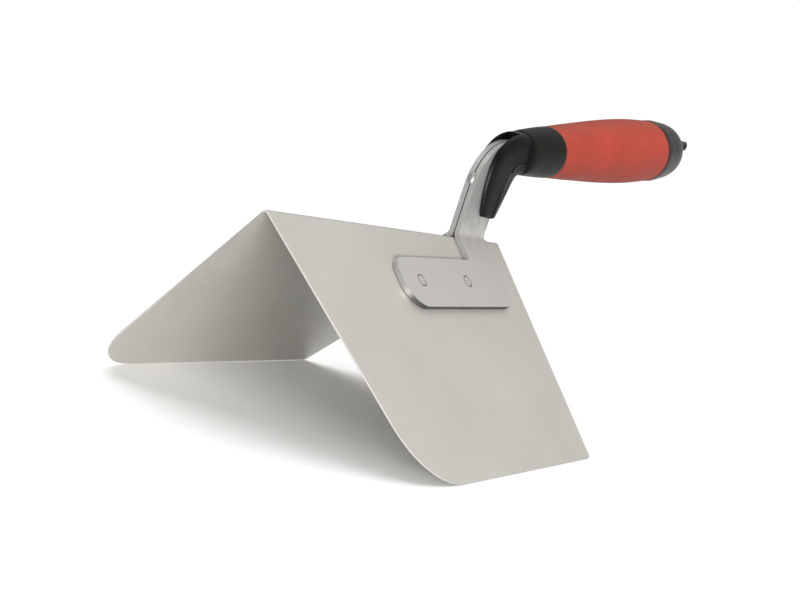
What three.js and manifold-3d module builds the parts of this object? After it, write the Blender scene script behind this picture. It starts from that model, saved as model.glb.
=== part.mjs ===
// Outside corner trowel: a folded steel blade whose inner faces straddle a wall's outside corner,
// two stamped shank plates riveted to its outer faces, a rubber finger guard and a soft-grip handle.
//
// The pieces are laid out in the trowel's own frame: the fold runs along +X from the front end,
// the two wings fall away from it at 45 degrees, -Y is the right wing and +Z points up from the fold.
// The finished group is tipped so that the trowel stands on the free edges of both wings.

import * as THREE from 'three';
import { mergeVertices } from 'three/addons/utils/BufferGeometryUtils.js';
import Module from 'manifold-3d';

const wasm = await Module();
wasm.setup();

// ---- Driving dimensions, in millimetres and degrees ----
const RIDGE_LENGTH = 192.5;
const SHEET = 0.8;                  // blade thickness
const FOLD_RADIUS = 1.4;            // outside radius of the blade's fold
const WING_ANGLE = 45;              // each wing's slope below the horizontal
const FRONT_CORNER = [30.6, 127.1]; // wing corner: distance along the fold, distance down the wing
const REAR_CORNER = [184.3, 110.8];
const FRONT_CORNER_RADIUS = 34;
const REAR_CORNER_RADIUS = 1.5;

const PLATE = 2.4;                  // shank plate thickness
const GAP = 0.3;                    // clearance between pieces that touch
const SEAM = 0.6;                   // the slit left between the two webs
const WEBS_HALF_WIDTH = SEAM / 2 + PLATE + GAP;  // both webs, with clearance
const BEND_RADIUS = 3.5;            // inside radius of the shank plate's bend
const NECK_FRONT = 151.2;           // the neck of the plate, where it crosses the fold
const NECK_REAR = 175.8;
const WEB_SHOULDER = 156.6;         // where the web's front edge turns towards the handle
const SHOULDER_RADIUS = 26;
const WEB_THROAT = 178.2;           // where its rear edge does
const WEB_WAIST = 174.3;            // its rear edge just above the fold
const FOOT_FRONT = 82.4;
const FOOT_TOP = [17.4, 14.0];      // distances down the wing, at the foot's front and at the neck
const FOOT_BOTTOM = [41.8, 36.6];
const FOOT_TAPER = 2.6;             // how far the foot narrows below the neck
const RIVETS = [[98.3, 28.0], [139.9, 25.7]];  // along the fold, down the wing
const RIVET_RADIUS = 2.65;
const RIVET_STEPS = 24;

const WELD_PLACE = [154.9, 23.4];   // x and z of the tack weld's middle
const WELD_LEAN = 9;
const WELD_PROFILE = [[0, 0], [0.8, 0.3], [1.5, 1.2], [1.7, 3], [1.5, 4.8], [0.8, 5.7], [0, 6]];
const WELD_STEPS = 16;

const AXIS_SLOPE = 6.08;            // the handle rises towards its rear end
const AXIS_START = [187, 41.56];    // x and z where the handle's axis leaves the finger guard
const TANG_TOP = 5.5;               // the tang's edges, above and below the handle's axis
const TANG_BOTTOM = 7;
const TANG_END = 48;                // how far the tang reaches along the handle's axis
const SLOT_SPARE = 1.5;             // room left beyond the tang's end in the handle core
const SLOT_MOUTH = -10;             // the slot is cut from ahead of the bolster's nose
const GUARD_HALF_WIDTH = 5.4;
const GUARD_ROUNDING = 1.8;
const BOLSTER_END = 27.5;           // distances along the handle's axis
const GRIP_END = 124;
const HANDLE_END = 151.2;
const CORE_RADIUS = 8.5;            // hard core under the soft grip
const SPIGOT_RADIUS = 5.5;
const SPIGOT_LENGTH = 9;
const EYELET_LENGTH = 17;
const EYELET_LIFT = 2.2;            // the tongue stands a little above the handle's axis
const EYELET_WIDTH = 4.4;
const EYELET_THICKNESS = 2.6;
const EYELET_HOLE = 1.1;            // radius of the eye
const EYELET_FLARE = [7, 1.7];      // length and width of the flare at the tongue's root
const FLARE_RADIUS = 5;

const STANDING_TIP = 4.28;          // tip that brings both free edges onto a level surface
const SPARE = 1;                    // how far cutting bodies reach beyond what they cut
const STOCK = { reach: 40, top: 70 };  // the bent plate before it is cut to its outline
const ARC_STEPS = 5;
const ROUND_STEPS = 48;

const radians = THREE.MathUtils.degToRad;
const slope = radians(WING_ANGLE);
const SIDES = { right: -1, left: 1 };

// ---- Materials ----
const finish = (color, roughness, metalness) => ({ color, roughness, metalness });
const STEEL = finish(0xc3c0b8, 0.38, 0.9);
const STAMPED_STEEL = finish(0xaaa7a2, 0.45, 0.9);
const GUARD_RUBBER = finish(0x2a2a2a, 0.7, 0);
const CORE_PLASTIC = finish(0x30322f, 0.5, 0);
const GRIP_RUBBER = finish(0xb8483a, 0.65, 0);
const CAP_PLASTIC = finish(0x5a5b59, 0.5, 0);

// ---- Solids from closed meshes ----
function solid(geometry, matrix = new THREE.Matrix4()) {
  const bare = geometry.clone().applyMatrix4(matrix);
  bare.deleteAttribute('normal');
  bare.deleteAttribute('uv');
  const merged = mergeVertices(bare, 1e-4);
  return new wasm.Manifold(new wasm.Mesh({
    numProp: 3,
    vertProperties: new Float32Array(merged.attributes.position.array),
    triVerts: new Uint32Array(merged.index.array),
  }));
}

function joinAll(solids) {
  return solids.reduce((whole, next) => whole.add(next));
}

function geometryOf(body) {
  const mesh = body.getMesh();
  const geometry = new THREE.BufferGeometry();
  geometry.setAttribute('position', new THREE.BufferAttribute(new Float32Array(mesh.vertProperties), 3));
  geometry.setIndex(new THREE.BufferAttribute(new Uint32Array(mesh.triVerts), 1));
  geometry.computeVertexNormals();
  return geometry;
}

// ---- Outlines ----
// A closed outline from corners [x, y, radius]; a radius of 0 leaves the corner sharp.
function roundedShape(corners) {
  const shape = new THREE.Shape();
  const count = corners.length;
  const at = (i) => new THREE.Vector2(...corners[(i + count) % count].slice(0, 2));
  for (let i = 0; i < count; i++) {
    const corner = at(i);
    const back = at(i - 1).sub(corner).normalize();
    const ahead = at(i + 1).sub(corner).normalize();
    const radius = corners[i][2] ?? 0;
    const half = Math.acos(back.dot(ahead)) / 2;
    const reach = radius / Math.tan(half);
    const start = corner.clone().addScaledVector(back, reach);
    const end = corner.clone().addScaledVector(ahead, reach);
    if (i === 0) shape.moveTo(start.x, start.y);
    else shape.lineTo(start.x, start.y);
    if (radius === 0) continue;
    const inward = back.clone().add(ahead).normalize();
    const centre = corner.clone().addScaledVector(inward, radius / Math.sin(half));
    const from = Math.atan2(start.y - centre.y, start.x - centre.x);
    const to = Math.atan2(end.y - centre.y, end.x - centre.x);
    shape.absarc(centre.x, centre.y, radius, from, to, back.cross(ahead) > 0);
  }
  return shape;
}

function slab(shape, from, to, matrix) {
  const geometry = new THREE.ExtrudeGeometry(shape, {
    depth: to - from,
    bevelEnabled: false,
    curveSegments: ARC_STEPS,
  });
  return solid(geometry.translate(0, 0, from), matrix);
}

// Outlines drawn in X and Z are extruded across Y, and those drawn in Y and Z along X.
const ACROSS = new THREE.Matrix4().makeBasis(
  new THREE.Vector3(1, 0, 0),
  new THREE.Vector3(0, 0, 1),
  new THREE.Vector3(0, -1, 0),
);
const ALONG = new THREE.Matrix4().makeBasis(
  new THREE.Vector3(0, 1, 0),
  new THREE.Vector3(0, 0, 1),
  new THREE.Vector3(1, 0, 0),
);

function slabAcross(shape, halfWidth) {
  return slab(shape, -halfWidth, halfWidth, ACROSS);
}

function slabAlong(shape, fromX, toX) {
  return slab(shape, fromX, toX, ALONG);
}

// A prism on a wing: its outline is drawn along the fold and down the wing, and it fills the
// heights low to high above the wing's outer face.
function slabOnWing(corners, low, high, side) {
  const matrix = new THREE.Matrix4().makeBasis(
    new THREE.Vector3(1, 0, 0),
    new THREE.Vector3(0, -side * Math.cos(slope), Math.sin(slope)),
    new THREE.Vector3(0, -Math.sin(slope), -side * Math.cos(slope)),
  );
  const shape = roundedShape(corners.map(([along, down, radius]) => [along, -down, radius]));
  const heights = [-side * low, -side * high].sort((a, b) => a - b);
  return slab(shape, heights[0], heights[1], matrix);
}

// The placement of a body that is modelled along +Z onto the handle's axis.
const handleFrame = new THREE.Matrix4()
  .makeTranslation(AXIS_START[0], 0, AXIS_START[1])
  .multiply(new THREE.Matrix4().makeRotationY(radians(90 - AXIS_SLOPE)));

function lathed(profile) {
  const points = profile.map(([radius, along]) => new THREE.Vector2(radius, along));
  const geometry = new THREE.LatheGeometry(points, ROUND_STEPS);
  return solid(geometry.rotateX(Math.PI / 2), handleFrame);
}

// ---- Blade: one sheet folded to a right angle ----
function foldSection(outerRadius, thickness, reach) {
  const fall = Math.tan(slope);
  const centreZ = -outerRadius / Math.cos(slope);
  const innerTop = -thickness / Math.cos(slope);
  const innerRadius = outerRadius - thickness;
  return roundedShape([
    [0, 0, outerRadius],
    [reach, -reach * fall, 0],
    [reach, innerTop - reach * fall, 0],
    [0, centreZ + innerRadius / Math.cos(slope), innerRadius],
    [-reach, innerTop - reach * fall, 0],
    [-reach, -reach * fall, 0],
  ]);
}

function wingOutline() {
  return [
    [0, -FOLD_RADIUS * 2, 0],
    [0, 0, 0],
    [...FRONT_CORNER, FRONT_CORNER_RADIUS],
    [...REAR_CORNER, REAR_CORNER_RADIUS],
    [RIDGE_LENGTH, 0, 0],
    [RIDGE_LENGTH, -FOLD_RADIUS * 2, 0],
  ];
}

function rivetHole(along, down, side) {
  return rivetPin(along, down, side, RIVET_RADIUS + GAP, -SHEET - SPARE, PLATE + SPARE);
}

function rivetPin(along, down, side, radius, low, high) {
  const length = high - low;
  const geometry = new THREE.CylinderGeometry(radius, radius, length, RIVET_STEPS);
  geometry.rotateX(Math.PI / 2);
  const outward = new THREE.Vector3(0, side * Math.sin(slope), Math.cos(slope));
  const middle = new THREE.Vector3(along, side * down * Math.cos(slope), -down * Math.sin(slope));
  middle.addScaledVector(outward, (low + high) / 2);
  const turn = new THREE.Quaternion().setFromUnitVectors(new THREE.Vector3(0, 0, 1), outward);
  const matrix = new THREE.Matrix4().compose(middle, turn, new THREE.Vector3(1, 1, 1));
  return solid(geometry, matrix);
}

function rivetHoles() {
  return joinAll(Object.values(SIDES).flatMap((side) => RIVETS.map(
    ([along, down]) => rivetHole(along, down, side),
  )));
}

function makeBlade() {
  const reach = FRONT_CORNER[1];
  const folded = slabAlong(foldSection(FOLD_RADIUS, SHEET, reach), -SPARE, RIDGE_LENGTH + SPARE);
  const trim = Object.values(SIDES).map((side) => slabOnWing(wingOutline(), -SHEET - SPARE, SPARE, side));
  return folded.intersect(joinAll(trim)).subtract(rivetHoles());
}

// ---- Shank plates: mirrored stampings, each a foot on one wing and a web rising to the handle ----
function plateSection(side) {
  const innerY = SEAM / 2;
  const outerY = innerY + PLATE;
  const innerFoot = GAP / Math.cos(slope);
  const outerFoot = (GAP + PLATE) / Math.cos(slope);
  const { reach, top } = STOCK;
  return roundedShape([
    [side * innerY, top, 0],
    [side * outerY, top, 0],
    [side * outerY, outerFoot - outerY, BEND_RADIUS],
    [side * reach, outerFoot - reach, 0],
    [side * (reach - PLATE * Math.sin(slope)), innerFoot - reach + PLATE * Math.sin(slope), 0],
    [side * innerY, innerFoot - innerY, BEND_RADIUS + PLATE],
  ]);
}

function footOutline() {
  return [
    [NECK_FRONT, 2, 0],
    [NECK_FRONT, FOOT_TOP[1], 1.5],
    [FOOT_FRONT, FOOT_TOP[0], 7],
    [FOOT_FRONT, FOOT_BOTTOM[0], 12],
    [NECK_REAR - FOOT_TAPER, FOOT_BOTTOM[1], 6],
    [NECK_REAR, 2, 0],
  ];
}

const axisHeight = (x) => AXIS_START[1] + (x - AXIS_START[0]) * Math.tan(radians(AXIS_SLOPE));
const tangEndX = AXIS_START[0] + TANG_END * Math.cos(radians(AXIS_SLOPE));

function webOutline() {
  return [
    [NECK_FRONT, -6, 0],
    [WEB_SHOULDER, axisHeight(WEB_SHOULDER) + TANG_TOP, SHOULDER_RADIUS],
    [tangEndX, axisHeight(tangEndX) + TANG_TOP, 2],
    [tangEndX, axisHeight(tangEndX) - TANG_BOTTOM, 2],
    [WEB_THROAT, axisHeight(WEB_THROAT) - TANG_BOTTOM, 9],
    [WEB_WAIST, 0.6, 1.2],
    [NECK_REAR, 0, 0.6],
    [NECK_REAR, -6, 0],
  ];
}

function makeShankPlate(side) {
  const folded = slabAlong(plateSection(side), FOOT_FRONT - SPARE, tangEndX + SPARE);
  const foot = slabOnWing(footOutline(), GAP - SPARE, GAP + PLATE + SPARE, side);
  const web = slabAcross(roundedShape(webOutline()), STOCK.reach / 2);
  return folded.intersect(foot.add(web)).subtract(rivetHoles());
}

// ---- Tack weld that bridges the front edges of the two webs ----
function makeTackWeld() {
  const points = WELD_PROFILE.map(([radius, along]) => new THREE.Vector2(radius, along));
  const geometry = new THREE.LatheGeometry(points, WELD_STEPS);
  const matrix = new THREE.Matrix4()
    .makeTranslation(WELD_PLACE[0], 0, WELD_PLACE[1])
    .multiply(new THREE.Matrix4().makeRotationY(radians(WELD_LEAN)))
    .multiply(new THREE.Matrix4().makeRotationX(Math.PI / 2));
  return solid(geometry, matrix).subtract(shankEnvelope());
}

// The room that both webs take, with clearance all round.
function shankEnvelope() {
  const core = slabAcross(roundedShape(webOutline()), WEBS_HALF_WIDTH);
  const shifts = [[GAP, 0], [-GAP, 0], [0, GAP], [0, -GAP]];
  return joinAll(shifts.map(([x, z]) => core.translate([x, 0, z])));
}

// ---- Finger guard: a rubber sleeve over the rear of the shank ----
// Its two cheeks stand proud of the webs' top edges and join into a ring at the bolster.
const GUARD_OUTLINE = [
  [165.4, 10.8, 2.2],
  [179.0, 10.2, 2.2],
  [186.0, 28.8, 3],
  [189.4, 31.2, 0],
  [187.2, 51.2, 0],
  [178.4, 48.8, 14],
  [168.6, 43.0, 7],
  [163.0, 36.0, 12],
  [162.4, 24.0, 20],
];
const RING_START = 182;             // ahead of this the guard is open at the top
const RING_ROOM = [36, 60];         // heights that the opening between the cheeks spans

function topOpening() {
  const [low, high] = RING_ROOM;
  const corners = [[NECK_FRONT, low], [RING_START, low], [RING_START, high], [NECK_FRONT, high]];
  return slabAcross(roundedShape(corners), WEBS_HALF_WIDTH);
}

function makeFingerGuard() {
  const geometry = new THREE.ExtrudeGeometry(roundedShape(GUARD_OUTLINE), {
    depth: 2 * (GUARD_HALF_WIDTH - GUARD_ROUNDING),
    bevelThickness: GUARD_ROUNDING,
    bevelSize: GUARD_ROUNDING,
    bevelOffset: -GUARD_ROUNDING,
    bevelSegments: 3,
    curveSegments: ARC_STEPS,
  });
  geometry.translate(0, 0, GUARD_ROUNDING - GUARD_HALF_WIDTH);
  return solid(geometry, ACROSS).subtract(shankEnvelope()).subtract(topOpening());
}

// ---- Handle ----
// Outer radius along the handle: slim at the bolster, full near the rear, closing at the cap.
const bolsterProfile = [[10.2, 2.5], [10.6, 6], [11.3, 15], [11.9, BOLSTER_END]];
const gripProfile = [
  [11.9, BOLSTER_END], [12.9, 42], [13.9, 58], [14.8, 74], [15.35, 90], [15.45, 104], [15.1, 115],
  [14.8, GRIP_END],
];
const capProfile = [
  [14.8, GRIP_END], [14.9, 130], [14.5, 136], [13.5, 141], [11.8, 145], [9.2, 148.4],
  [5.8, 150.4], [0, HANDLE_END],
];

function tangSlot() {
  const bottom = TANG_END + SLOT_SPARE;
  const height = TANG_TOP + TANG_BOTTOM + 2 * GAP;
  const slot = new THREE.BoxGeometry(height, 2 * WEBS_HALF_WIDTH, bottom - SLOT_MOUTH);
  slot.translate((TANG_BOTTOM - TANG_TOP) / 2, 0, (bottom + SLOT_MOUTH) / 2);
  return solid(slot, handleFrame);
}

function makeHandleCore() {
  const [first, ...others] = bolsterProfile;
  const shoulder = [CORE_RADIUS, BOLSTER_END];
  const tail = [[CORE_RADIUS, GRIP_END], [SPIGOT_RADIUS + GAP, GRIP_END]];
  const socket = [[SPIGOT_RADIUS + GAP, GRIP_END - SPIGOT_LENGTH - GAP]];
  const blind = [[0, GRIP_END - SPIGOT_LENGTH - GAP]];
  return lathed([[0, first[1]], first, ...others, shoulder, ...tail, ...socket, ...blind])
    .subtract(tangSlot());
}

function makeGripSleeve() {
  const outer = gripProfile.map(([radius, along], i) => {
    const inset = i === 0 ? GAP : 0;
    return [radius, along + inset];
  });
  const first = outer[0][1];
  return lathed([
    [CORE_RADIUS + GAP, first], ...outer, [CORE_RADIUS + GAP, GRIP_END], [CORE_RADIUS + GAP, first],
  ]);
}

function makeEndCap() {
  const face = GRIP_END + GAP;
  const spigotEnd = GRIP_END - SPIGOT_LENGTH;
  const [first, ...dome] = capProfile;
  const spigot = [[0, spigotEnd], [SPIGOT_RADIUS, spigotEnd], [SPIGOT_RADIUS, face]];
  return lathed([...spigot, [first[0], face], ...dome]);
}

// A short tongue on the end of the cap, with an eye for hanging the tool.
function makeHangEyelet() {
  const root = HANDLE_END + GAP;
  const tip = root + EYELET_LENGTH;
  const half = EYELET_WIDTH / 2;
  const [flareLength, flareWidth] = EYELET_FLARE;
  const tipRadius = half * 0.98;
  const tongue = roundedShape([
    [root, -half - flareWidth, 0],
    [root + flareLength, -half, FLARE_RADIUS],
    [tip, -half, tipRadius],
    [tip, half, tipRadius],
    [root + flareLength, half, FLARE_RADIUS],
    [root, half + flareWidth, 0],
  ]);
  const eye = new THREE.Path();
  eye.absarc(tip - half, 0, EYELET_HOLE, 0, 2 * Math.PI, true);
  tongue.holes.push(eye);
  const geometry = new THREE.ExtrudeGeometry(tongue, {
    depth: EYELET_THICKNESS,
    bevelEnabled: false,
    curveSegments: 8,
  });
  geometry.translate(0, 0, -EYELET_THICKNESS / 2);
  geometry.rotateY(-Math.PI / 2);
  geometry.rotateZ(Math.PI / 2);
  geometry.translate(-EYELET_LIFT, 0, 0);
  return solid(geometry, handleFrame);
}

// ---- Assembly ----
const trowel = new THREE.Group();
trowel.rotation.y = radians(STANDING_TIP);

function addPiece(name, body, { color, roughness, metalness }) {
  const material = new THREE.MeshStandardMaterial({ color, roughness, metalness });
  const mesh = new THREE.Mesh(geometryOf(body), material);
  mesh.name = name;
  trowel.add(mesh);
}

addPiece('blade', makeBlade(), STEEL);
for (const [name, side] of Object.entries(SIDES)) {
  addPiece(`shank_plate_${name}`, makeShankPlate(side), STAMPED_STEEL);
  RIVETS.forEach(([along, down], i) => {
    const place = i === 0 ? 'front' : 'rear';
    const pin = rivetPin(along, down, side, RIVET_RADIUS, -SHEET, GAP + PLATE);
    addPiece(`rivet_${name}_${place}`, pin, STAMPED_STEEL);
  });
}
addPiece('tack_weld', makeTackWeld(), STAMPED_STEEL);
addPiece('finger_guard', makeFingerGuard(), GUARD_RUBBER);
addPiece('handle_core', makeHandleCore(), CORE_PLASTIC);
addPiece('grip_sleeve', makeGripSleeve(), GRIP_RUBBER);
addPiece('end_cap', makeEndCap(), CAP_PLASTIC);
addPiece('hang_eyelet', makeHangEyelet(), CAP_PLASTIC);

// Stand the trowel on z = 0 with its box centred on the origin.
const model = new THREE.Group();
model.add(trowel);
model.updateMatrixWorld(true);
const box = new THREE.Box3().setFromObject(model, true);
const centre = box.getCenter(new THREE.Vector3());
trowel.position.set(-centre.x, -centre.y, -box.min.z);
model.updateMatrixWorld(true);

export default model;
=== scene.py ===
"""Outside corner trowel: the visual model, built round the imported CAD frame."""

import math

import bmesh
import bpy
from mathutils import Matrix, Vector


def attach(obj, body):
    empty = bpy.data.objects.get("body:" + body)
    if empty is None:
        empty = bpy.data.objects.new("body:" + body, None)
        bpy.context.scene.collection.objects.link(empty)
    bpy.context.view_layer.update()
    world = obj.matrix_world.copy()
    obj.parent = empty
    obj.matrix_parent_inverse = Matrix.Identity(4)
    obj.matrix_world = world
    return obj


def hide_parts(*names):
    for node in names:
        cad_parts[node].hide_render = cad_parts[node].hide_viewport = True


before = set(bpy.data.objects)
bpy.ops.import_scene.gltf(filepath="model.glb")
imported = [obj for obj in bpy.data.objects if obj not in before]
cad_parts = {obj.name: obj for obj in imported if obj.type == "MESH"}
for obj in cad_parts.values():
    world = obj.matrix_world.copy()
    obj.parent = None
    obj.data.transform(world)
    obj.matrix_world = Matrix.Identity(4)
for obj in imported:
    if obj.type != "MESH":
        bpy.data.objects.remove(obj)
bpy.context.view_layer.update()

MM = 0.001

# ---- Frames that the CAD part is laid out in ----
# The trowel frame runs along the fold from its front end; the handle frame along the handle's axis.
STANDING_TIP = 4.28                 # degrees
FOLD_FRONT = (-0.178917, 0, 0.092466)
AXIS_SLOPE = 6.08                   # degrees, in the trowel frame
AXIS_START = (187 * MM, 0, 41.56 * MM)

trowel_frame = Matrix.Translation(FOLD_FRONT) @ Matrix.Rotation(math.radians(STANDING_TIP), 4, "Y")
axis_turn = Matrix.Rotation(math.radians(90 - AXIS_SLOPE), 4, "Y")
handle_frame = trowel_frame @ Matrix.Translation(AXIS_START) @ axis_turn

# Distances along the handle's axis and radii round it, in millimetres
BOLSTER_START = 2.5
BOLSTER_END = 27.5
GRIP_END = 124
HANDLE_END = 151.2
CORE_RADIUS = 8.5
SPIGOT_RADIUS = 5.5
SPIGOT_START = 115
SEAM = 0.3                          # gap between pieces that touch
SHANK_HALF_WIDTH = 3.0              # half the thickness of both webs and the gap round them

SIDES = {"right": -1, "left": 1}    # the sign of each wing's side along Y

# Mesh finish
SHARP_ANGLE = 35                    # degrees; a wider turn between faces is shaded as a sharp edge
FLAT_ANGLE = 0.5                    # degrees; faces that turn less than this are one flat face
WELD_DISTANCE = 1e-6                # metres
SHORT_EDGE = 0.8 * MM               # edges of the rivet holes' rims are shorter than this
HOLE_ROUNDING = 0.6                 # share of a stamping's rounding that those rims get
LATHE_STEPS = 144                   # points round a turned piece
FACING_INWARDS = 0.99               # least part along Y of a face's normal that counts as along Y


# ---- Mesh helpers ----
def add_object(name, data):
    item = bpy.data.objects.new(name, data)
    bpy.context.scene.collection.objects.link(item)
    return item


def object_from(name, mesh):
    """Turns a bmesh into an object with its faces outwards, and frees the bmesh."""
    bmesh.ops.recalc_face_normals(mesh, faces=mesh.faces)
    data = bpy.data.meshes.new(name)
    mesh.to_mesh(data)
    mesh.free()
    return add_object(name, data)


def merge_flat_faces(mesh):
    bmesh.ops.remove_doubles(mesh, verts=mesh.verts, dist=WELD_DISTANCE)
    bmesh.ops.dissolve_limit(
        mesh, angle_limit=math.radians(FLAT_ANGLE), verts=mesh.verts, edges=mesh.edges,
        use_dissolve_boundaries=False,
    )


def apply_modifiers(piece):
    graph = bpy.context.evaluated_depsgraph_get()
    finished = bpy.data.meshes.new_from_object(piece.evaluated_get(graph))
    piece.modifiers.clear()
    piece.data = finished
    finished.name = piece.name


def shade(piece):
    for polygon in piece.data.polygons:
        polygon.use_smooth = True
    piece.data.set_sharp_from_angle(angle=math.radians(SHARP_ANGLE))


def weigh_edges(mesh):
    """Full rounding on a stamping's outline, and a smaller share of it round its rivet holes."""
    weights = mesh.attributes.new("bevel_weight_edge", "FLOAT", "EDGE")
    for edge in mesh.edges:
        if not edge.use_edge_sharp:
            continue
        start, end = (mesh.vertices[k].co for k in edge.vertices)
        short = (end - start).length < SHORT_EDGE
        weights.data[edge.index].value = HOLE_ROUNDING if short else 1.0


def refined(name, node, bevel, segments=3):
    """A copy of a CAD node with its flat faces made whole and its edges rounded."""
    piece = add_object(name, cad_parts[node].data.copy())
    piece.matrix_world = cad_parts[node].matrix_world.copy()
    mesh = bmesh.new()
    mesh.from_mesh(piece.data)
    merge_flat_faces(mesh)
    mesh.to_mesh(piece.data)
    mesh.free()
    shade(piece)
    weigh_edges(piece.data)
    rounding = piece.modifiers.new("rounding", "BEVEL")
    rounding.width = bevel
    rounding.segments = segments
    rounding.limit_method = "WEIGHT"
    rounding.harden_normals = True
    apply_modifiers(piece)
    return piece


def spline(points, per_span):
    """Points of a Catmull-Rom curve through the given points."""
    last = len(points) - 1
    result = []
    for i in range(last):
        neighbours = (max(i - 1, 0), i, i + 1, min(i + 2, last))
        before, start, end, after = (Vector(points[k]) for k in neighbours)
        for step in range(per_span):
            t = step / per_span
            pull = (end - before) * t + (2 * before - 5 * start + 4 * end - after) * t ** 2
            pull += (3 * start - before - 3 * end + after) * t ** 3
            result.append(start + pull / 2)
    result.append(Vector(points[-1]))
    return result


def lathe_ring(mesh, radius, along):
    """One circle of a turned piece, or a single point where its profile meets the axis."""
    if radius == 0:
        return [mesh.verts.new((0, 0, along * MM))]
    reach = radius * MM
    ring = []
    for k in range(LATHE_STEPS):
        turn = 2 * math.pi * k / LATHE_STEPS
        ring.append(mesh.verts.new((reach * math.cos(turn), reach * math.sin(turn), along * MM)))
    return ring


def lathe(name, profile):
    """A turned piece on the handle's axis, from (radius, distance) points in millimetres.

    A profile that doesn't start on the axis is a tube's, so its last ring joins its first."""
    mesh = bmesh.new()
    rings = [lathe_ring(mesh, radius, along) for radius, along in profile]
    pairs = list(zip(rings, rings[1:]))
    if len(rings[0]) > 1:
        pairs.append((rings[-1], rings[0]))
    for low, high in pairs:
        for k in range(LATHE_STEPS):
            places = ((low, k), (low, k + 1), (high, k + 1), (high, k))
            unique = list(dict.fromkeys(ring[i % len(ring)] for ring, i in places))
            if len(unique) > 2:
                mesh.faces.new(unique)
    mesh.transform(handle_frame)
    piece = object_from(name, mesh)
    shade(piece)
    return piece


def web_outline():
    """The outline of the flat inner face of one shank plate's web."""
    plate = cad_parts["shank_plate_right"]
    mesh = bmesh.new()
    mesh.from_mesh(plate.data)
    mesh.transform(plate.matrix_world)
    merge_flat_faces(mesh)
    inward = (face for face in mesh.faces if face.normal.y > FACING_INWARDS)
    web = max(inward, key=lambda face: face.calc_area())
    outline = [corner.co.copy() for corner in web.verts]
    mesh.free()
    return outline


def shank_room():
    """A solid that fills the room of both webs, raised from the outline of one of them."""
    outline = web_outline()
    mesh = bmesh.new()
    sides = []
    for y in (-SHANK_HALF_WIDTH * MM, SHANK_HALF_WIDTH * MM):
        sides.append([mesh.verts.new((p.x, y, p.z)) for p in outline])
    near, far = sides
    count = len(outline)
    mesh.faces.new(near)
    mesh.faces.new(far)
    for k in range(count):
        mesh.faces.new((near[k], near[(k + 1) % count], far[(k + 1) % count], far[k]))
    return object_from("shank_room", mesh)


def cut(piece, tool):
    cutter = piece.modifiers.new("cut", "BOOLEAN")
    cutter.operation = "DIFFERENCE"
    cutter.solver = "EXACT"
    cutter.object = tool
    apply_modifiers(piece)
    shade(piece)


# ---- Finger guard: a rubber sleeve lofted between its front and rear outlines ----
# Both outlines are in the trowel frame, in millimetres, from the guard's foot to the bolster.
GUARD_FRONT = [
    (164.8, 10.7), (162.5, 20), (162.2, 29), (163.0, 35.4), (165.2, 40.4), (168.8, 44.4), (173.2, 47.4),
    (179.5, 49.9), (187.3, 51.2),
]
GUARD_REAR = [
    (178.8, 10.3), (181.6, 17), (184.0, 23), (185.8, 27.4), (187.2, 29.8), (188.3, 31.0), (189.0, 31.4),
    (189.4, 31.6), (189.6, 31.8),
]
GUARD_HALF_WIDTHS = [4.7, 5.1, 5.4, 5.5, 5.6, 5.9, 6.4, 7.0, 7.4]
GUARD_SPAN = 6                      # sections per outline span
GUARD_AROUND = 160                  # points round a section
FOOT_SQUARENESS = 4.6               # power of the section's superellipse at the foot
TOP_SQUARENESS = 3.0                # the same at the bolster
FOOT_SIZE = 0.84                    # size of the foot's end face, as a share of the section above it
END_ROUNDING = 0.035                # share of the length over which the foot is rounded
RIDGE_PLACE = 0.33                  # the moulded ridge line, from -1 at the front to 1 at the rear
RIDGE_TAPER = 0.10                  # share of the half width lost gradually behind the ridge
RIDGE_STEP = 0.05                   # share of it lost at once, just behind the ridge
RIDGE_BEAD = 0.06                   # height of the bead along the ridge, as a share of the half width
BEAD_WIDTH = 0.035                  # on the same scale as RIDGE_PLACE
RING_START = 182                    # distance along the fold; ahead of it the guard is open at the top
RING_ROOM = (36, 60)                # heights that the opening between its cheeks spans
OPENING_LEAD = 10                   # how far the opening starts ahead of the guard


def ridge_share(depth):
    """The share of the half width that is kept, from the front (-1) past the ridge to the rear (1)."""
    bead = RIDGE_BEAD * math.exp(-(((depth - RIDGE_PLACE) / BEAD_WIDTH) ** 2))
    if depth <= RIDGE_PLACE:
        return 1 + bead
    return 1 + bead - RIDGE_STEP - RIDGE_TAPER * (depth - RIDGE_PLACE) / (1 - RIDGE_PLACE)


def squared(value, power):
    """A coordinate of a superellipse from the circle's; a higher power makes a squarer section."""
    return math.copysign(abs(value) ** (2 / power), value)


def guard_section(front, rear, half_width, along):
    """One section of the guard; along runs from 0 at its foot to 1 at the bolster."""
    middle = (front + rear) / 2
    reach = (rear - front) / 2
    power = FOOT_SQUARENESS + (TOP_SQUARENESS - FOOT_SQUARENESS) * along
    start = min(along / END_ROUNDING, 1)
    size = FOOT_SIZE + (1 - FOOT_SIZE) * math.sqrt(1 - (1 - start) ** 2)
    points = []
    for k in range(GUARD_AROUND):
        turn = 2 * math.pi * k / GUARD_AROUND
        depth = squared(math.cos(turn), power)
        width = squared(math.sin(turn), power)
        spot = middle + reach * depth * size
        side = half_width * width * size * ridge_share(depth)
        points.append(Vector((spot.x, side, spot.y)) * MM)
    return points


def top_opening():
    """A block that opens the guard's top between its cheeks."""
    low, high = RING_ROOM
    front = GUARD_FRONT[0][0] - OPENING_LEAD
    mesh = bmesh.new()
    bmesh.ops.create_cube(mesh, size=1)
    size = Matrix.Diagonal(((RING_START - front) * MM, 2 * SHANK_HALF_WIDTH * MM, (high - low) * MM, 1))
    place = Matrix.Translation(Vector(((RING_START + front) / 2, 0, (low + high) / 2)) * MM)
    mesh.transform(trowel_frame @ place @ size)
    return object_from("top_opening", mesh)


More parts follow.
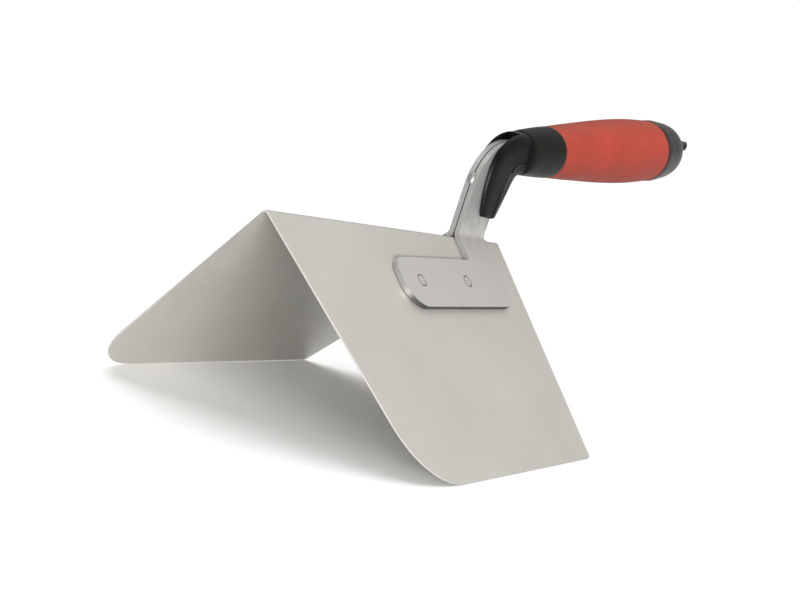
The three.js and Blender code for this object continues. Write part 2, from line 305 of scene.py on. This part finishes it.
def guard_body():
    """The guard before it is opened: sections lofted from its foot to the bolster."""
    fronts = spline(GUARD_FRONT, GUARD_SPAN)
    rears = spline(GUARD_REAR, GUARD_SPAN)
    widths = spline([(width, 0) for width in GUARD_HALF_WIDTHS], GUARD_SPAN)
    last = len(fronts) - 1
    mesh = bmesh.new()
    rings = []
    for i, (front, rear, width) in enumerate(zip(fronts, rears, widths)):
        section = guard_section(front, rear, width.x, i / last)
        rings.append([mesh.verts.new(point) for point in section])
    for low, high in zip(rings, rings[1:]):
        for k in range(GUARD_AROUND):
            following = (k + 1) % GUARD_AROUND
            mesh.faces.new((low[k], low[following], high[following], high[k]))
    mesh.faces.new(rings[0])
    mesh.faces.new(rings[-1])
    mesh.transform(trowel_frame)
    return object_from("guard_sleeve", mesh)


def make_finger_guard(room):
    """The guard's body, with room for the webs and an opening between its cheeks."""
    piece = guard_body()
    cut(piece, room)
    opening = top_opening()
    cut(piece, opening)
    bpy.data.objects.remove(opening)
    return piece


# ---- Handle ----
def flat(points):
    return [tuple(point) for point in points]


def make_handle_core(room):
    """The bolster in front, the core under the grip, and the socket for the cap's spigot."""
    nose = [
        (0, BOLSTER_START), (9.2, BOLSTER_START), (9.9, BOLSTER_START + 0.3), (10.25, BOLSTER_START + 1.1),
    ]
    body = spline([(10.3, 4), (10.6, 7), (11.1, 13), (11.6, 20), (11.85, 25.5)], 5)
    lip = [(11.85, 26.7), (11.6, BOLSTER_END - 0.1), (11.2, BOLSTER_END), (CORE_RADIUS, BOLSTER_END)]
    tail = [(CORE_RADIUS, GRIP_END), (SPIGOT_RADIUS + SEAM, GRIP_END)]
    socket = [(SPIGOT_RADIUS + SEAM, SPIGOT_START - SEAM), (0, SPIGOT_START - SEAM)]
    piece = lathe("bolster_and_core", nose + flat(body) + lip + tail + socket)
    cut(piece, room)
    return piece


def make_grip():
    """The soft sleeve, fullest towards the rear."""
    start = BOLSTER_END + SEAM
    inner = CORE_RADIUS + SEAM
    body = spline(
        [(11.9, 28.4), (12.85, 42), (13.8, 58), (14.7, 74), (15.25, 90), (15.38, 104), (15.05, 115),
         (14.72, GRIP_END - 0.9)],
        8,
    )
    front_lip = [(inner, start), (11.3, start), (11.7, start + 0.15)]
    rear_lip = [(14.55, GRIP_END - 0.25), (14.2, GRIP_END), (inner, GRIP_END)]
    return lathe("soft_grip", front_lip + flat(body) + rear_lip)


def make_end_cap():
    """The spigot, a plain band, and a dome that steps down to a flatter shoulder."""
    face = GRIP_END + SEAM
    spigot = [(0, SPIGOT_START), (SPIGOT_RADIUS, SPIGOT_START), (SPIGOT_RADIUS, face), (14.0, face)]
    band = [(14.45, face + 0.2), (14.7, face + 0.8), (14.82, face + 2.5), (14.85, face + 4.6)]
    step = [(14.6, face + 5.0), (14.5, face + 5.4)]
    dome = spline(
        [(14.45, face + 6.2), (14.2, 134), (13.6, 139), (12.6, 142.6), (11.3, 145.2), (10.9, 145.9)], 4
    )
    shoulder = spline([(10.5, 146.0), (9.0, 147.9), (6.6, 149.8), (3.4, 150.9), (0, HANDLE_END)], 5)
    return lathe("end_cap_dome", spigot + band + step + flat(dome + shoulder))


# ---- Node helpers for the procedural materials ----
NOISE_RANGE = (0.3, 0.7)            # most of a noise texture's values lie in this range
COLOR_MIX_INPUTS = (0, 6, 7)        # a Mix node's sockets for the share and for its two colours
COLOR_MIX_OUTPUT = 2


class Maker:
    """Builds one material: a shader, with procedural nodes for its colour, roughness and bump.

    The colour and roughness that it starts with are the plain ones, and the nodes vary them."""

    def __init__(self, name, metallic, roughness, color, specular=0.5):
        self.material = bpy.data.materials.new(name)
        self.material.use_nodes = True
        self.nodes = self.material.node_tree.nodes
        self.links = self.material.node_tree.links
        self.shader = self.nodes["Principled BSDF"]
        self.shader.inputs["Metallic"].default_value = metallic
        self.shader.inputs["Roughness"].default_value = roughness
        self.shader.inputs["Base Color"].default_value = (*color, 1)
        self.shader.inputs["Specular IOR Level"].default_value = specular
        coordinates = self.nodes.new("ShaderNodeTexCoord")
        self.place = coordinates.outputs["Object"]
        self.outward = coordinates.outputs["Normal"]
        self.tone = None            # output of the last colour laid on
        self.normal = None          # output of the last bump laid on

    def texture(self, kind, scale):
        """A texture node in the object's own space; scale is features per metre, or one for each axis."""
        mapping = self.nodes.new("ShaderNodeMapping")
        mapping.inputs["Scale"].default_value = scale if isinstance(scale, tuple) else (scale,) * 3
        self.links.new(self.place, mapping.inputs["Vector"])
        texture = self.nodes.new(kind)
        texture.inputs["Scale"].default_value = 1
        self.links.new(mapping.outputs["Vector"], texture.inputs["Vector"])
        return texture

    def noise(self, scale, detail=4, roughness=0.55):
        texture = self.texture("ShaderNodeTexNoise", scale)
        texture.inputs["Detail"].default_value = detail
        texture.inputs["Roughness"].default_value = roughness
        return texture.outputs["Fac"]

    def cells(self, scale):
        return self.texture("ShaderNodeTexVoronoi", scale).outputs["Distance"]

    def spread(self, value, low, high, source=NOISE_RANGE):
        """Maps the source range of a value to the range from low to high."""
        ramp = self.nodes.new("ShaderNodeMapRange")
        numbers = {"From Min": source[0], "From Max": source[1], "To Min": low, "To Max": high}
        for socket, number in numbers.items():
            ramp.inputs[socket].default_value = number
        self.links.new(value, ramp.inputs["Value"])
        return ramp.outputs["Result"]

    def rise(self, low, high):
        """From 0 at the lower height to 1 at the higher one."""
        parts = self.nodes.new("ShaderNodeSeparateXYZ")
        self.links.new(self.place, parts.inputs["Vector"])
        return self.spread(parts.outputs["Z"], 0, 1, (low, high))

    def facing(self, direction, low, high):
        """From 0 to 1 as the surface turns towards a direction of the trowel frame.

        low and high are the cosines between the two where it leaves 0 and reaches 1."""
        dot = self.nodes.new("ShaderNodeVectorMath")
        dot.operation = "DOT_PRODUCT"
        dot.inputs[1].default_value = (trowel_frame.to_3x3() @ Vector(direction)).normalized()
        self.links.new(self.outward, dot.inputs[0])
        return self.spread(dot.outputs["Value"], 0, 1, (low, high))

    def blend(self, first, second, share):
        """The first value, with the given share of the second."""
        mix = self.nodes.new("ShaderNodeMix")
        mix.inputs[0].default_value = share
        self.links.new(first, mix.inputs[2])
        self.links.new(second, mix.inputs[3])
        return mix.outputs[0]

    def roughness(self, value, low, high):
        self.links.new(self.spread(value, low, high), self.shader.inputs["Roughness"])

    def color_mix(self, share, color):
        """A mix towards the given colour, which becomes the shader's; returns its first input."""
        mix = self.nodes.new("ShaderNodeMix")
        mix.data_type = "RGBA"
        factor, first, second = (mix.inputs[k] for k in COLOR_MIX_INPUTS)
        second.default_value = (*color, 1)
        self.links.new(share, factor)
        self.tone, below = mix.outputs[COLOR_MIX_OUTPUT], self.tone
        self.links.new(self.tone, self.shader.inputs["Base Color"])
        if below is not None:
            self.links.new(below, first)
        return first

    def color(self, value, first, second):
        """Varies the colour between two, as the value goes from low to high."""
        self.color_mix(self.spread(value, 0, 1), second).default_value = (*first, 1)

    def tint(self, value, color):
        """Lays another colour over the last one where the value is 1."""
        self.color_mix(value, color)

    def bump(self, value, strength, depth):
        node = self.nodes.new("ShaderNodeBump")
        node.inputs["Strength"].default_value = strength
        node.inputs["Distance"].default_value = depth
        self.links.new(value, node.inputs["Height"])
        if self.normal is not None:
            self.links.new(self.normal, node.inputs["Normal"])
        self.normal = node.outputs["Normal"]
        self.links.new(self.normal, self.shader.inputs["Normal"])


# ---- Materials ----
GRIP_PAINTED_SHADE_HEIGHTS = (0.106, 0.140)       # metres above the floor over which painted shade on the grip's underside gives way to painted light on its top
SHANK_PAINTED_REFLECTION_HEIGHTS = (0.074, 0.098)     # metres above the floor over which a painted reflection of the dark handle darkens the shank


def blade_steel():
    """Satin stainless sheet with a faint rolling grain along the fold, and a painted dark reflection on the
    fold's rounding.
    """
    make = Maker("blade_stainless", metallic=0.5, roughness=0.42, color=(0.46, 0.447, 0.415))
    grain = make.noise((60, 2600, 2600), detail=3)
    cloud = make.noise(28, detail=3)
    make.roughness(grain, low=0.38, high=0.46)
    make.color(cloud, (0.445, 0.433, 0.4), (0.475, 0.463, 0.429))
    # painted dark reflection: the fold's rounding, where it faces up, is tinted darker
    make.tint(make.facing((0, 0, 1), 0.8, 0.97), (0.3, 0.29, 0.285))
    make.bump(grain, strength=0.10, depth=0.00003)
    return make.material


def plate_steel(side):
    """Stamped and tumbled steel: duller than the blade, mottled, and darker towards the handle with a painted
    reflection of the dark handle.

    Painted shade darkens its lower edges, its lower front corners and the webs' front edge faces, and a
    painted dark reflection lines the rounding along the webs' front edges."""
    make = Maker(f"stamped_steel_{side}", metallic=0.6, roughness=0.42, color=(0.5, 0.49, 0.475))
    mottle = make.noise(420, detail=5, roughness=0.65)
    blotches = make.noise((330, 330, 110), detail=5, roughness=0.65)
    make.roughness(mottle, low=0.42, high=0.58)
    # random blotches of the steel's own tone, blended with a painted dark reflection of the handle that grows
    # with height
    blotches_and_painted_reflection = make.blend(blotches, make.rise(*SHANK_PAINTED_REFLECTION_HEIGHTS), 0.5)
    make.color(blotches_and_painted_reflection, (0.46, 0.449, 0.435), (0.23, 0.225, 0.219))
    # painted shade on the webs' front edge faces
    make.tint(make.facing((-1, 0, 0.2), 0.75, 0.9), (0.34, 0.334, 0.326))
    front_rounding = (-1, SIDES[side], 0)
    # painted dark reflection in the rounding along the webs' front edges
    make.tint(make.facing(front_rounding, 0.93, 0.985), (0.08, 0.078, 0.075))
    lower_corner = (-1, SIDES[side], -1)
    # painted shade on the lower front corners
    make.tint(make.facing(lower_corner, 0.85, 0.97), (0.1, 0.098, 0.095))
    down_wing = (0, SIDES[side], -1)
    # painted shade on the edges that face down the wing, towards the floor
    make.tint(make.facing(down_wing, 0.78, 0.95), (0.06, 0.058, 0.055))
    make.bump(mottle, strength=0.18, depth=0.00006)
    return make.material


def rivet_steel(side):
    """The plates' steel, with painted shade in the groove round each head."""
    make = Maker(f"rivet_steel_{side}", metallic=0.6, roughness=0.4, color=(0.6, 0.585, 0.565))
    mottle = make.noise(700, detail=4)
    make.roughness(mottle, low=0.36, high=0.5)
    make.color(mottle, (0.4, 0.391, 0.379), (0.49, 0.479, 0.464))
    # painted shade in the groove: faces that turn away from the head's outward direction are tinted dark
    make.tint(make.facing((0, SIDES[side], 1), 0.99, 0.9), (0.07, 0.068, 0.066))
    make.bump(mottle, strength=0.15, depth=0.00004)
    return make.material


def weld_steel():
    """The rough skin of a small weld bead."""
    make = Maker("weld_bead", metallic=1.0, roughness=0.5, color=(0.35, 0.343, 0.333))
    ripple = make.noise(1500, detail=3)
    make.roughness(ripple, low=0.42, high=0.56)
    make.color(ripple, (0.26, 0.255, 0.247), (0.44, 0.431, 0.418))
    make.bump(ripple, strength=0.3, depth=0.0001)
    return make.material


def guard_rubber():
    """Black moulded rubber with an uneven satin skin."""
    make = Maker("black_rubber", metallic=0.0, roughness=0.4, color=(0.003, 0.003, 0.0034), specular=0.09)
    skin = make.noise(2600, detail=3)
    cloud = make.noise(120, detail=3)
    make.roughness(cloud, low=0.3, high=0.44)
    make.color(cloud, (0.003, 0.003, 0.0034), (0.005, 0.005, 0.0056))
    make.bump(skin, strength=0.16, depth=0.00006)
    return make.material


def core_plastic():
    """Dark green-grey moulded plastic with a fine eroded grain."""
    make = Maker("bolster_plastic", metallic=0.0, roughness=0.45, color=(0.006, 0.0065, 0.005), specular=0.08)
    grain = make.cells(2600)
    cloud = make.noise(110, detail=3)
    make.roughness(cloud, low=0.4, high=0.5)
    make.color(cloud, (0.006, 0.0065, 0.005), (0.009, 0.0095, 0.008))
    make.bump(grain, strength=0.12, depth=0.00005)
    return make.material


def grip_rubber():
    """Red soft-touch rubber, faintly mottled, and painted darker underneath and lighter on top, as if lit
    from above.
    """
    make = Maker("red_soft_rubber", metallic=0.0, roughness=0.6, color=(0.36, 0.036, 0.018), specular=0.15)
    cloud = make.noise(75, detail=4)
    skin = make.noise(2100, detail=3)
    make.roughness(cloud, low=0.52, high=0.66)
    # random mottle blended with painted shade, darkest on the grip's underside and lightest on its top
    mottle_and_painted_shade = make.blend(cloud, make.rise(*GRIP_PAINTED_SHADE_HEIGHTS), 0.6)
    make.color(mottle_and_painted_shade, (0.18, 0.022, 0.013), (0.32, 0.045, 0.027))
    make.bump(skin, strength=0.18, depth=0.00007)
    swell = make.noise(160, detail=3)
    make.bump(swell, strength=0.08, depth=0.00025)
    return make.material


def cap_plastic():
    """Dark grey moulded plastic, a little glossier and paler than the bolster's."""
    make = Maker("cap_plastic", metallic=0.0, roughness=0.38, color=(0.018, 0.019, 0.017), specular=0.22)
    grain = make.cells(2300)
    cloud = make.noise(140, detail=3)
    make.roughness(cloud, low=0.32, high=0.44)
    make.color(cloud, (0.015, 0.0155, 0.0145), (0.022, 0.023, 0.021))
    make.bump(grain, strength=0.1, depth=0.00005)
    return make.material


def floor_paint():
    """A matt, nearly white studio floor."""
    make = Maker("floor_paint", metallic=0.0, roughness=0.9, color=(0.96, 0.96, 0.96), specular=0.0)
    make.color(make.noise(3, detail=2), (0.955, 0.955, 0.955), (0.965, 0.965, 0.965))
    return make.material


# ---- Pieces ----
def show(piece, nodes, material):
    """Gives a piece its material, and puts it in the place of the CAD nodes it stands for."""
    piece.data.materials.clear()
    piece.data.materials.append(material)
    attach(piece, "root")
    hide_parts(*nodes)


# Rounding of edges
BLADE_ROUNDING = 0.22 * MM
PLATE_ROUNDING = 0.5 * MM
WELD_ROUNDING = 0.2 * MM
TONGUE_ROUNDING = 0.8 * MM


def build_shank():
    for side in SIDES:
        plate = f"shank_plate_{side}"
        stamping = refined(f"stamped_plate_{side}", plate, PLATE_ROUNDING, 4)
        show(stamping, [plate], plate_steel(side))
        rivets = rivet_steel(side)
        for place in ("front", "rear"):
            rivet = f"rivet_{side}_{place}"
            show(refined(f"flush_{rivet}", rivet, PLATE_ROUNDING), [rivet], rivets)
    show(refined("weld_bead", "tack_weld", WELD_ROUNDING), ["tack_weld"], weld_steel())


def build_pieces():
    show(refined("folded_blade", "blade", BLADE_ROUNDING), ["blade"], blade_steel())
    build_shank()
    room = shank_room()
    show(make_finger_guard(room), ["finger_guard"], guard_rubber())
    show(make_handle_core(room), ["handle_core"], core_plastic())
    bpy.data.objects.remove(room)
    show(make_grip(), ["grip_sleeve"], grip_rubber())
    cap = cap_plastic()
    show(make_end_cap(), ["end_cap"], cap)
    tongue = refined("hanging_tongue", "hang_eyelet", TONGUE_ROUNDING, 5)
    show(tongue, ["hang_eyelet"], cap)


# ---- Floor, light and camera ----
# Angles are in degrees. An azimuth of 0 is a place that looks along +Y, and 90 one that looks along -X.
FLOOR_SIZE = 60.0
FLOOR_DROP = 0.2 * MM               # keeps the floor clear of the blade's edges
WORLD_COLOR = (1.0, 0.995, 0.985)
WORLD_POWER = 0.6
SKY_POWER = 1.5
SKY_AZIMUTH = 150
SKY_ELEVATION = 76
SKY_BREADTH = 70
FRONT_POWER = 49
FRONT_AZIMUTH = -40
FRONT_ELEVATION = 4.5
FRONT_DISTANCE = 1.8
FRONT_SIZE = (1.2, 0.26)
TARGET = trowel_frame @ Vector((0.12168, 0, -0.03147))  # on the middle plane, below the fold
CAMERA_DISTANCE = 1.30878
CAMERA_AZIMUTH = -59.433
CAMERA_ELEVATION = 9.07
CAMERA_ROLL = 12.886                # anticlockwise as the camera sees it
LENS = 135.0
SENSOR = 36.0
NEAREST = 0.05                      # the camera's clipping distances
FARTHEST = 100


def direction(azimuth, elevation):
    """The unit vector from the target towards a lamp or camera."""
    a, e = math.radians(azimuth), math.radians(elevation)
    return Vector((math.sin(a) * math.cos(e), -math.cos(a) * math.cos(e), math.sin(e)))


def aim(back):
    """The rotation of a lamp or camera that looks the opposite way to the given vector."""
    return (-back).to_track_quat("-Z", "Y")


def add_floor():
    half = FLOOR_SIZE / 2
    corners = [(-half, -half, 0), (half, -half, 0), (half, half, 0), (-half, half, 0)]
    mesh = bpy.data.meshes.new("floor")
    mesh.from_pydata(corners, [], [(0, 1, 2, 3)])
    mesh.materials.append(floor_paint())
    floor = add_object("floor", mesh)
    floor.location.z = -FLOOR_DROP


def add_front_softbox():
    """A low, wide area light that reaches into the blade's hollow side."""
    back = direction(FRONT_AZIMUTH, FRONT_ELEVATION)
    lamp = bpy.data.lights.new("front", "AREA")
    lamp.shape = "RECTANGLE"
    lamp.size, lamp.size_y = FRONT_SIZE
    lamp.energy = FRONT_POWER
    light = add_object("front", lamp)
    light.location = TARGET + back * FRONT_DISTANCE
    light.rotation_euler = aim(back).to_euler()


def add_sky():
    """One very broad lamp, high behind the trowel, that whitens the whole floor."""
    lamp = bpy.data.lights.new("sky", "SUN")
    lamp.energy = SKY_POWER
    lamp.angle = math.radians(SKY_BREADTH)
    light = add_object("sky", lamp)
    light.rotation_euler = aim(direction(SKY_AZIMUTH, SKY_ELEVATION)).to_euler()


def add_world():
    world = bpy.data.worlds.new("studio")
    world.use_nodes = True
    background = world.node_tree.nodes["Background"]
    background.inputs["Color"].default_value = (*WORLD_COLOR, 1)
    background.inputs["Strength"].default_value = WORLD_POWER
    bpy.context.scene.world = world


def add_camera():
    back = direction(CAMERA_AZIMUTH, CAMERA_ELEVATION)
    data = bpy.data.cameras.new("camera")
    data.lens = LENS
    data.sensor_width = SENSOR
    data.clip_start = NEAREST
    data.clip_end = FARTHEST
    camera = add_object("camera", data)
    camera.location = TARGET + back * CAMERA_DISTANCE
    roll = Matrix.Rotation(math.radians(CAMERA_ROLL), 4, "Z")
    camera.rotation_euler = (aim(back).to_matrix().to_4x4() @ roll).to_euler()
    bpy.context.scene.camera = camera


build_pieces()
add_floor()
add_world()
add_sky()
add_front_softbox()
add_camera()
bpy.context.scene.view_settings.view_transform = "Standard"  # keeps white paint and background white
